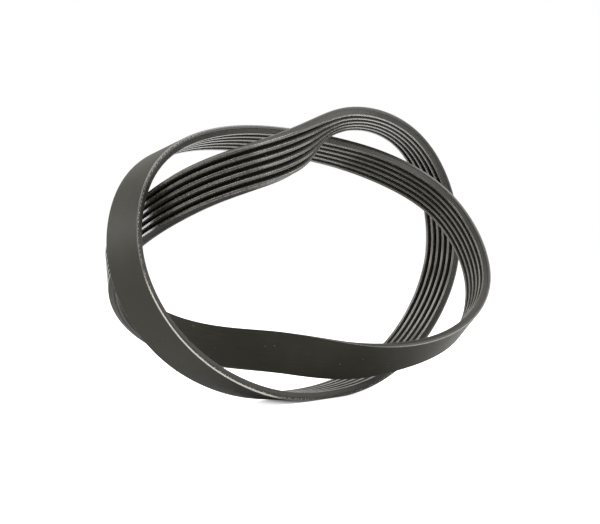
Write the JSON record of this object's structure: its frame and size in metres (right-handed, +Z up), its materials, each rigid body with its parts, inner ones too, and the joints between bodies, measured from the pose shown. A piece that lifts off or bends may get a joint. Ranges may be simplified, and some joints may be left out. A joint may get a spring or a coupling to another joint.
{
  "type": "serpentine belt",
  "caption": "Closed ribbed rubber belt in a loose coil, for driving engine accessories over grooved pulleys.",
  "frame": {"origin": "on the floor, under the middle of the coil's box", "axes": "+Z up from the floor the coil stands on; +X to the right and +Y away, as the coil is looked at with its twisted strand in front"},
  "size_m": [0.2012, 0.1886, 0.1501],
  "materials": {
    "rubber": "satin dark rubber, smooth on the back, cut and slightly fibrous on the ribs"
  },
  "bodies": {
    "root": {"ribbed_belt": "rubber"}
  },
  "joints": []
}
